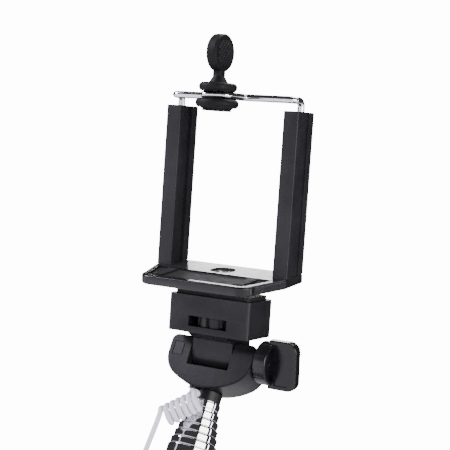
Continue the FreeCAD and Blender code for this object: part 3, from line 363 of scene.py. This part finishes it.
def foamMaterial(name, c):
    # closed-cell foam: small pits over larger soft lumps
    material, tree, shader = shaderBase(name)
    coords = tree.nodes.new("ShaderNodeTexCoord")
    cells = tree.nodes.new("ShaderNodeTexVoronoi")
    cells.inputs["Scale"].default_value = c["cells"]
    wire(tree, coords, "Object", cells, "Vector")
    lumps = addNoise(tree, coords.outputs["Object"], *c["lumps"])
    tint = addMix(tree, lumps.outputs["Fac"], (*c["dark"], 1), (*c["light"], 1))
    tree.links.new(tint, shader.inputs["Base Color"])
    pits = addMath(tree, "MULTIPLY", cells.outputs["Distance"], c["cellShare"])
    addBump(tree, shader, addMath(tree, "ADD", pits, lumps.outputs["Fac"]), c["bump"], c["depth"])
    shader.inputs["Roughness"].default_value = c["rough"]
    shader.inputs["Sheen Weight"].default_value = c["sheen"]
    return material


looks = {
    "satinBlack": skinMaterial("satinBlack", (0.0048, 0.0045, 0.0058), (0.026, 0.025, 0.029), (0.27, 0.40),
                               specular=0.22),
    "glossBlack": skinMaterial("glossBlack", (0.006, 0.0057, 0.007), (0.03, 0.029, 0.031), (0.16, 0.28),
                               bump=0.12, specular=0.35),
    "mattRubber": skinMaterial("mattRubber", (0.0055, 0.0053, 0.0062), (0.024, 0.024, 0.026), (0.5, 0.66),
                               grain=0.8, bump=0.35, specular=0.16),
    "leadWhite": skinMaterial("leadWhite", (0.78, 0.765, 0.88), (0.86, 0.85, 0.92), (0.32, 0.45), blotch=0.06,
                              bump=0.1, coat=0.15, coatRough=0.3),
    "plugWhite": skinMaterial("plugWhite", (0.78, 0.78, 0.80), (0.86, 0.86, 0.87), (0.25, 0.38), blotch=0.05,
                              bump=0.1, coat=0.3),
    "boardGreen": skinMaterial("boardGreen", (0.01, 0.09, 0.035), (0.05, 0.2, 0.1), (0.3, 0.45), grain=0.3),
    "buttonGrey": skinMaterial("buttonGrey", (0.32, 0.32, 0.34), (0.5, 0.5, 0.52), (0.3, 0.42), blotch=0.1),
    "chrome": metalMaterial("chrome", (0.80, 0.80, 0.82), (0.90, 0.90, 0.92), (0.03, 0.10)),
    "dullSteel": metalMaterial("dullSteel", (0.42, 0.42, 0.43), (0.60, 0.60, 0.61), (0.22, 0.38), bump=0.3),
    "warmBrass": metalMaterial("warmBrass", (0.60, 0.42, 0.16), (0.78, 0.60, 0.28), (0.15, 0.32), bump=0.3),
    "foam": foamMaterial("foam", foamSet),
}
nodeLook = {
    "satinBlack": ["handle_core", "end_cap", "button_housing", "neck_spigot", "housing_front", "housing_rear",
                   "block_lower", "block_upper", "post_left", "post_right", "thumbwheel", "cord_grommet"],
    "glossBlack": ["tray", "tilt_knob"],
    "mattRubber": ["block_pad", "tray_pad", "jaw_grip", "jaw_pad"],
    "foam": ["handle_grip"],
    "buttonGrey": ["shutter_button"],
    "boardGreen": ["switch_board"],
    "chrome": ["wire_frame", "plug_contact"] + ["tube_%d" % n for n in range(1, 8)],
    "dullSteel": ["housing_screws", "tilt_nut", "wave_washer", "tilt_bolt", "block_screws", "clip_screw",
                  "post_screws", "spring_left", "spring_right", "wire_feet", "tray_insert"],
    "warmBrass": ["bush_%d" % n for n in range(1, 7)],
    "leadWhite": ["inner_lead"],
    "plugWhite": ["plug_body"],
}


def paint(obj, look):
    obj.data.materials.clear()
    obj.data.materials.append(looks[look])


for look, names in nodeLook.items():
    for name in names:
        for slot in nodes[name].material_slots:
            slot.material = looks[look]
print("materials done")

paint(cordPiece, "leadWhite")
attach(cordPiece, "head")
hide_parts("cord_lead", "cord_coil", "cord_tail")

# raised diamonds on both faces of the pull tab, inside a plain rim
tabGrip = {"rows": 5, "pitch": 1.9, "half": 0.78, "rise": 0.42, "sink": 0.05, "crestWide": 0.45,
           "reach": 4.5, "faceX": 2.05, "discHeight": 107.0, "discFront": -14.1}


def meshPiece(name, points, faces, smooth=False):
    mesh = bpy.data.meshes.new(name)
    mesh.from_pydata([tuple(p) for p in points], [], faces)
    mesh.validate()
    shape = bmesh.new()
    shape.from_mesh(mesh)
    bmesh.ops.recalc_face_normals(shape, faces=shape.faces)
    shape.to_mesh(mesh)
    shape.free()
    if smooth:
        mesh.shade_smooth()
    return link(bpy.data.objects.new(name, mesh))


def makeTabGrip(c):
    points, faces = [], []
    for side in (-1, 1):
        base, crest = side * (c["faceX"] - c["sink"]), side * (c["faceX"] + c["rise"])
        for row in range(-c["rows"], c["rows"] + 1):
            for column in range(-c["rows"], c["rows"] + 1):
                if (row + column) % 2:
                    continue
                across, high = column * c["pitch"] / 2, row * c["pitch"] / 2
                if math.hypot(across, high) > c["reach"]:
                    continue
                start = len(points)
                for wide, x in ((1.0, base), (c["crestWide"], crest)):
                    reach = c["half"] * wide
                    for dy, dz in ((-reach, 0), (0, -reach), (reach, 0), (0, reach)):
                        points.append(clipPoint(x, c["discFront"] + across + dy,
                                                c["discHeight"] + high + dz))
                faces += [[start + n for n in quad] for quad in (
                    (0, 1, 5, 4), (1, 2, 6, 5), (2, 3, 7, 6), (3, 0, 4, 7), (4, 5, 6, 7), (3, 2, 1, 0))]
    return meshPiece("tabGrip", points, faces)


def turnedBand(rings, place, sides):
    # rings of (radius, height) about the place's own Z, the last one joined back to the first
    points, faces = [], []
    for radius, height in rings:
        for n in range(sides):
            angle = 2 * math.pi * n / sides
            points.append(place @ Vector((radius * math.cos(angle), radius * math.sin(angle), height)))
    for ring in range(len(rings) - 1):
        for n in range(sides):
            near, far = ring * sides, (ring + 1) * sides
            after = (n + 1) % sides
            faces.append([near + n, near + after, far + after, far + n])
    last = (len(rings) - 1) * sides
    faces += [[n, last + n, last + (n + 1) % sides, (n + 1) % sides] for n in range(sides)]
    return points, faces


tabPiece = makeTabGrip(tabGrip)
paint(tabPiece, "satinBlack")
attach(tabPiece, "jaw")
print("tab grip done")

# crimped, slightly barrelled ends on the six moving tubes
crimp = {"profile": [(0.02, -2.62), (0.05, -2.3), (0.09, -1.8), (0.13, -1.2), (0.17, -0.6),
                     (0.16, -0.3), (0.05, -0.12)],
         "sink": 0.12, "segments": 72}


def makeCrimp(number, body, c):
    low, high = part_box("tube_%d" % number)
    radius = (high[0] - low[0]) / 2
    place = Matrix.Translation(Vector((0, 0, high[2])))
    outer = [(radius + out * mm, height * mm) for out, height in c["profile"]]
    inner = radius - c["sink"] * mm
    rings = [(inner, outer[0][1])] + outer + [(inner, outer[-1][1])]
    points, faces = turnedBand(rings, place, c["segments"])
    piece = meshPiece("tubeCrimp%d" % number, points, faces, True)
    paint(piece, "chrome")
    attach(piece, body)


for number in range(1, 7):
    makeCrimp(number, "head" if number == 1 else "section_%d" % number, crimp)
print("crimped ends done")

# the two springs on the wire's legs, wound as real coils
springSet = {"turns": 40, "perTurn": 14, "sides": 6, "wire": 0.15, "pull": 28.0, "spare": 0.3}


def makeSpring(side, c):
    node = nodes["spring_" + side]
    local = [clipPlace.inverted() @ v.co for v in node.data.vertices]
    low = [min(p[k] for p in local) / mm for k in range(3)]
    high = [max(p[k] for p in local) / mm for k in range(3)]
    centreX, centreY = (low[0] + high[0]) / 2, (low[1] + high[1]) / 2
    radius = (high[0] - low[0]) / 2 - c["wire"]
    start, end = low[2] + c["wire"], high[2] - c["wire"]
    points, faces = [], []
    steps, sides = c["turns"] * c["perTurn"], c["sides"]
    for n in range(steps + 1):
        angle = 2 * math.pi * n / c["perTurn"]
        height = start + (end - start) * n / steps
        for k in range(sides):
            around = 2 * math.pi * k / sides
            reach = radius + c["wire"] * math.cos(around)
            points.append(clipPoint(centreX + reach * math.cos(angle),
                                    centreY + reach * math.sin(angle),
                                    height + c["wire"] * math.sin(around)))
    for n in range(steps):
        for k in range(sides):
            after = (k + 1) % sides
            faces.append([n * sides + k, n * sides + after, (n + 1) * sides + after,
                          (n + 1) * sides + k])
    faces.append(list(range(sides))[::-1])
    faces.append([steps * sides + k for k in range(sides)])
    piece = meshPiece("spring" + side.capitalize(), points, faces, True)
    paint(piece, "dullSteel")
    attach(piece, "clip")
    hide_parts("spring_" + side)
    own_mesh(piece)


for side in ("left", "right"):
    makeSpring(side, springSet)
print("springs done")


# small steel screws with a cross recess, in place of the plain ones
screwSet = {"slotHalf": 0.30, "slotDepth": 0.6, "sides": 48, "taper": 0.75, "tipIn": 0.3, "tipLong": 0.4,
            "rimDrop": 0.3, "crownIn": 0.25, "crownDrop": 0.06, "crownWide": 0.78, "faceNear": 0.05}
screwRows = [
    {"node": "post_screws", "body": "clip", "out": (0, 0, -1), "leans": True, "head": 3.8, "thick": 1.0,
     "shank": 2.2, "length": 9.0, "slotReach": 1.12},
    {"node": "block_screws", "body": "block", "out": (0, 0, -1), "leans": True, "head": 3.6, "thick": 1.0,
     "shank": 2.0, "length": 9.0, "slotReach": 1.05},
    {"node": "housing_screws", "body": "head", "out": (0, 1, 0), "leans": False, "head": 4.0, "thick": 1.3,
     "shank": 2.2, "length": 9.5, "slotReach": 1.2},
]


def crossReach(angle, half, reach):
    # how far a cross-shaped recess of this half width and reach goes at this angle
    wide, narrow = sorted((abs(math.cos(angle)), abs(math.sin(angle))), reverse=True)
    return reach / wide if narrow / wide <= half / reach else half / narrow


def makeScrews(row, c):
    out = Vector(row["out"])
    if row["leans"]:
        out = clipTurn.to_3x3() @ out
    corners = [v.co.copy() for v in nodes[row["node"]].data.vertices]
    sides = c["sides"]
    angles = [2 * math.pi * n / sides for n in range(sides)]
    head, shank = row["head"] / 2, row["shank"] / 2
    rounds = [(shank - c["tipIn"], -row["length"]), (shank, c["tipLong"] - row["length"]),
              (shank, -row["thick"]), (head, -row["thick"]), (head, -c["rimDrop"]),
              (head - c["crownIn"], -c["crownDrop"]), (head * c["crownWide"], 0.0)]
    levels = [([radius] * sides, height) for radius, height in rounds]
    slot = [crossReach(a, c["slotHalf"], row["slotReach"]) for a in angles]
    levels += [(slot, 0.0), ([r * c["taper"] for r in slot], -c["slotDepth"])]
    points, faces = [], []
    for side in (-1, 1):
        mine = [p for p in corners if p.x * side > 0]
        far = max(p.dot(out) for p in mine)
        face = [p for p in mine if p.dot(out) > far - c["faceNear"] * mm]
        turnOut = out.to_track_quat("Z", "X").to_matrix().to_4x4()
        place = Matrix.Translation(sum(face, Vector()) / len(face)) @ turnOut
        first = len(points)
        for reaches, height in levels:
            for angle, reach in zip(angles, reaches):
                spot = Vector((reach * math.cos(angle), reach * math.sin(angle), height))
                points.append(place @ (spot * mm))
        for level in range(len(levels) - 1):
            near = first + level * sides
            for n in range(sides):
                after = (n + 1) % sides
                faces.append([near + n, near + after, near + sides + after, near + sides + n])
        faces.append([first + n for n in range(sides)][::-1])
        faces.append([first + (len(levels) - 1) * sides + n for n in range(sides)])
    parts = row["node"].split("_")
    piece = meshPiece(parts[0] + parts[1].capitalize(), points, faces)
    paint(piece, "dullSteel")
    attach(piece, row["body"])
    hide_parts(row["node"])


for row in screwRows:
    makeScrews(row, screwSet)
print("screws done")


# ribs on the plug's strain relief and dark rings between the plug's contacts
plugParts = {"ribs": 6, "firstRib": 1.6, "ribStep": 0.82, "ribWide": 0.34, "ribOut": 0.28, "ringSink": 0.12,
             "reliefThin": 1.3, "reliefThick": 2.0, "reliefLong": 7.0,
             "rings": [3.6, 6.4, 9.2], "ringsFrom": 0.9, "ringInner": 1.6, "contactRadius": 1.75,
             "ringWide": 0.5, "ringOut": 0.05, "bevel": 0.3, "sides": 48}


def ringPiece(name, centre, inner, outer, wide, c):
    edge = wide * c["bevel"]
    rings = [(inner, -wide / 2), (outer - edge, -wide / 2), (outer, -wide / 2 + edge),
             (outer, wide / 2 - edge), (outer - edge, wide / 2), (inner, wide / 2)]
    rings = [(radius * mm, height * mm) for radius, height in rings]
    points, faces = turnedBand(rings, Matrix.Translation(centre), c["sides"])
    return meshPiece(name, points, faces, True)


def nodeMiddle(node):
    low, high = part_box(node)
    return Vector([(a + b) / 2 for a, b in zip(low, high)]), low, high


def makePlugDetail(c):
    made = []
    middle, low, high = nodeMiddle("plug_body")
    for n in range(c["ribs"]):
        drop = c["firstRib"] + n * c["ribStep"]
        reach = c["reliefThin"] + (c["reliefThick"] - c["reliefThin"]) * drop / c["reliefLong"]
        spot = Vector((middle.x, middle.y, high[2] - drop * mm))
        piece = ringPiece("reliefRib%d" % n, spot, reach - c["ringSink"], reach + c["ribOut"],
                          c["ribWide"], c)
        paint(piece, "plugWhite")
        made.append(piece)
    middle, low, high = nodeMiddle("plug_contact")
    for n, rise in enumerate(c["rings"]):
        spot = Vector((middle.x, middle.y, low[2] + (rise + c["ringsFrom"]) * mm))
        piece = ringPiece("contactRing%d" % n, spot, c["ringInner"], c["contactRadius"] + c["ringOut"],
                          c["ringWide"], c)
        paint(piece, "mattRubber")
        made.append(piece)
    for piece in made:
        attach(piece, "head")
    return made


plugDetail = makePlugDetail(plugParts)
print("plug done")

# floor and lights
floorSet = {"size": 6.0, "drop": 0.001, "tint": (0.85, 0.85, 0.86), "rough": 0.7}


def makeFloor(c):
    mesh = bpy.data.meshes.new("floor")
    half, low = c["size"] / 2, cadBox[0][2] - c["drop"]
    corners = [(-half, -half, low), (half, -half, low), (half, half, low), (-half, half, low)]
    mesh.from_pydata(corners, [], [(0, 1, 2, 3)])
    floor = link(bpy.data.objects.new("floor", mesh))
    material, tree, shader = shaderBase("floorPale")
    shader.inputs["Base Color"].default_value = (*c["tint"], 1)
    shader.inputs["Roughness"].default_value = c["rough"]
    mesh.materials.append(material)


makeFloor(floorSet)
coolWhite, plainWhite, warmWhite = (0.90, 0.87, 1.0), (1.0, 1.0, 1.0), (1.0, 0.96, 0.92)
lights = [
    {"name": "frontSoft", "place": (-0.76, -0.60, 0.52), "wide": 0.42, "high": 0.42, "power": 15.5,
     "tint": coolWhite},
    {"name": "rightStrip", "place": (0.85, 0.30, 0.22), "wide": 0.07, "high": 0.5, "power": 1.4,
     "tint": coolWhite},
    {"name": "rightSoft", "place": (0.92, -0.42, 0.10), "wide": 0.95, "high": 0.5, "power": 13.0,
     "tint": warmWhite},
    {"name": "topSoft", "place": (0.05, 0.05, 1.05), "wide": 0.5, "high": 0.5, "power": 9.0,
     "tint": plainWhite},
    {"name": "backHigh", "place": (-0.62, 0.78, 0.92), "wide": 0.20, "high": 0.16, "power": 1.1,
     "tint": plainWhite},
]
lightAimUp = 0.03


def makeLights(rows):
    aim = pivot + Vector((0, 0, lightAimUp))
    for row in rows:
        data = bpy.data.lights.new(row["name"], "AREA")
        data.shape = "RECTANGLE"
        data.size = row["wide"]
        data.size_y = row["high"]
        data.energy = row["power"]
        data.color = row["tint"]
        lamp = link(bpy.data.objects.new(row["name"], data))
        place = Vector(row["place"])
        lamp.location = place
        lamp.rotation_euler = (aim - place).to_track_quat("-Z", "Y").to_euler()


makeLights(lights)

# what a ray meets beyond the floor: the first row for reflections, then the rows that replace it
worldRows = [
    {"ray": None, "tint": (0.95, 0.945, 1.0), "strength": 0.05},
    {"ray": "Is Diffuse Ray", "tint": (0.96, 0.955, 1.0), "strength": 0.34},
    {"ray": "Is Camera Ray", "tint": (0.99, 0.985, 1.0), "strength": 14.0},
]


def makeWorld(rows):
    world = bpy.data.worlds.new("studio")
    bpy.context.scene.world = world
    world.use_nodes = True
    tree = world.node_tree
    seen = tree.nodes.new("ShaderNodeLightPath")
    shown = None
    for row in rows:
        if shown is None:
            background = [n for n in tree.nodes if n.type == "BACKGROUND"][0]
        else:
            background = tree.nodes.new("ShaderNodeBackground")
        background.inputs["Color"].default_value = (*row["tint"], 1)
        background.inputs["Strength"].default_value = row["strength"]
        if shown is None:
            shown = background
            continue
        both = tree.nodes.new("ShaderNodeMixShader")
        wire(tree, seen, row["ray"], both, 0)
        wire(tree, shown, 0, both, 1)
        wire(tree, background, 0, both, 2)
        shown = both
    worldOut = [n for n in tree.nodes if n.type == "OUTPUT_WORLD"][0]
    wire(tree, shown, 0, worldOut, "Surface")


makeWorld(worldRows)
print("stage done")
